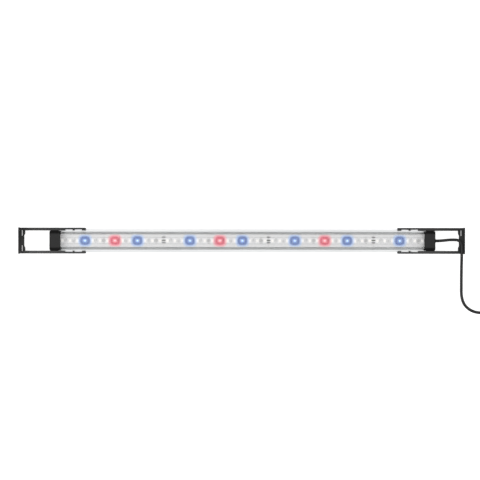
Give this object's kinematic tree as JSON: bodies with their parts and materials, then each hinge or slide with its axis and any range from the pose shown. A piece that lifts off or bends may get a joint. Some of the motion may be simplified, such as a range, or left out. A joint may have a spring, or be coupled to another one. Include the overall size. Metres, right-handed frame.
{
  "type": "led aquarium light",
  "caption": "Slim bar light with white, blue and red light points under a clear cover, sliding rim brackets at both ends and a coiled low-voltage lead.",
  "frame": {"origin": "middle of the lamp's flat back face", "axes": "+X along the lamp towards the lead, +Y across the lamp, +Z out of the lit side, away from the back"},
  "size_m": [0.7467, 0.1247, 0.0164],
  "materials": {
    "aluminium_profile": "satin clear anodised extrusion",
    "clear_plastic": "clear extruded polycarbonate",
    "thermal_pad": "soft grey",
    "white_board": "white solder mask",
    "solder": "tinned",
    "led_housing": "white moulded",
    "white_phosphor": "clear resin over phosphor",
    "blue_resin": "clear resin, blue light",
    "red_resin": "clear resin, red light",
    "chip_black": "moulded",
    "chip_grey": "glazed",
    "cap_plastic": "fine moulded texture",
    "bracket_plastic": "fine moulded texture",
    "foam_rubber": "closed cell foam",
    "screw_steel": "stainless",
    "soft_rubber": "smooth",
    "cable_jacket": "soft satin jacket",
    "red_wire": "insulation",
    "black_wire": "insulation",
    "tie_strap": "flat strap",
    "plug_plastic": "moulded",
    "nickel": "nickel plated"
  },
  "bodies": {
    "lamp": {"base_profile": "aluminium_profile", "clear_cover": "clear_plastic", "thermal_pad": "thermal_pad", "led_board_1": "white_board", "led_board_2": "white_board", "led_board_3": "white_board", "led_board_4": "white_board", "board_links": "solder", "white_leds": "led_housing", "white_led_windows": "white_phosphor", "blue_leds": "led_housing", "blue_led_windows": "blue_resin", "red_leds": "led_housing", "red_led_windows": "red_resin", "current_regulators": "chip_black", "resistors": "chip_grey", "end_cap_left": "cap_plastic", "end_cap_right": "cap_plastic", "cap_gasket_left": "foam_rubber", "cap_gasket_right": "foam_rubber", "cap_screws_left": "screw_steel", "cap_screws_right": "screw_steel", "cable_grommet": "soft_rubber", "cable_end": "cable_jacket", "wire_positive": "red_wire", "wire_negative": "black_wire", "wire_joints": "solder", "power_cable": "cable_jacket", "cable_coil": "cable_jacket", "coil_tie": "tie_strap", "plug_lead": "cable_jacket", "dc_plug": "plug_plastic", "plug_barrel": "nickel"},
    "left_bracket": {"bracket_left": "bracket_plastic"},
    "right_bracket": {"bracket_right": "bracket_plastic"}
  },
  "joints": [
    {"name": "left_bracket_slide", "type": "slide", "parent": "lamp", "child": "left_bracket", "axis": [-1, 0, 0], "range_m": [-0.035, 0.025]},
    {"name": "right_bracket_slide", "type": "slide", "parent": "lamp", "child": "right_bracket", "axis": [1, 0, 0], "range_m": [-0.032, 0.025]}
  ]
}
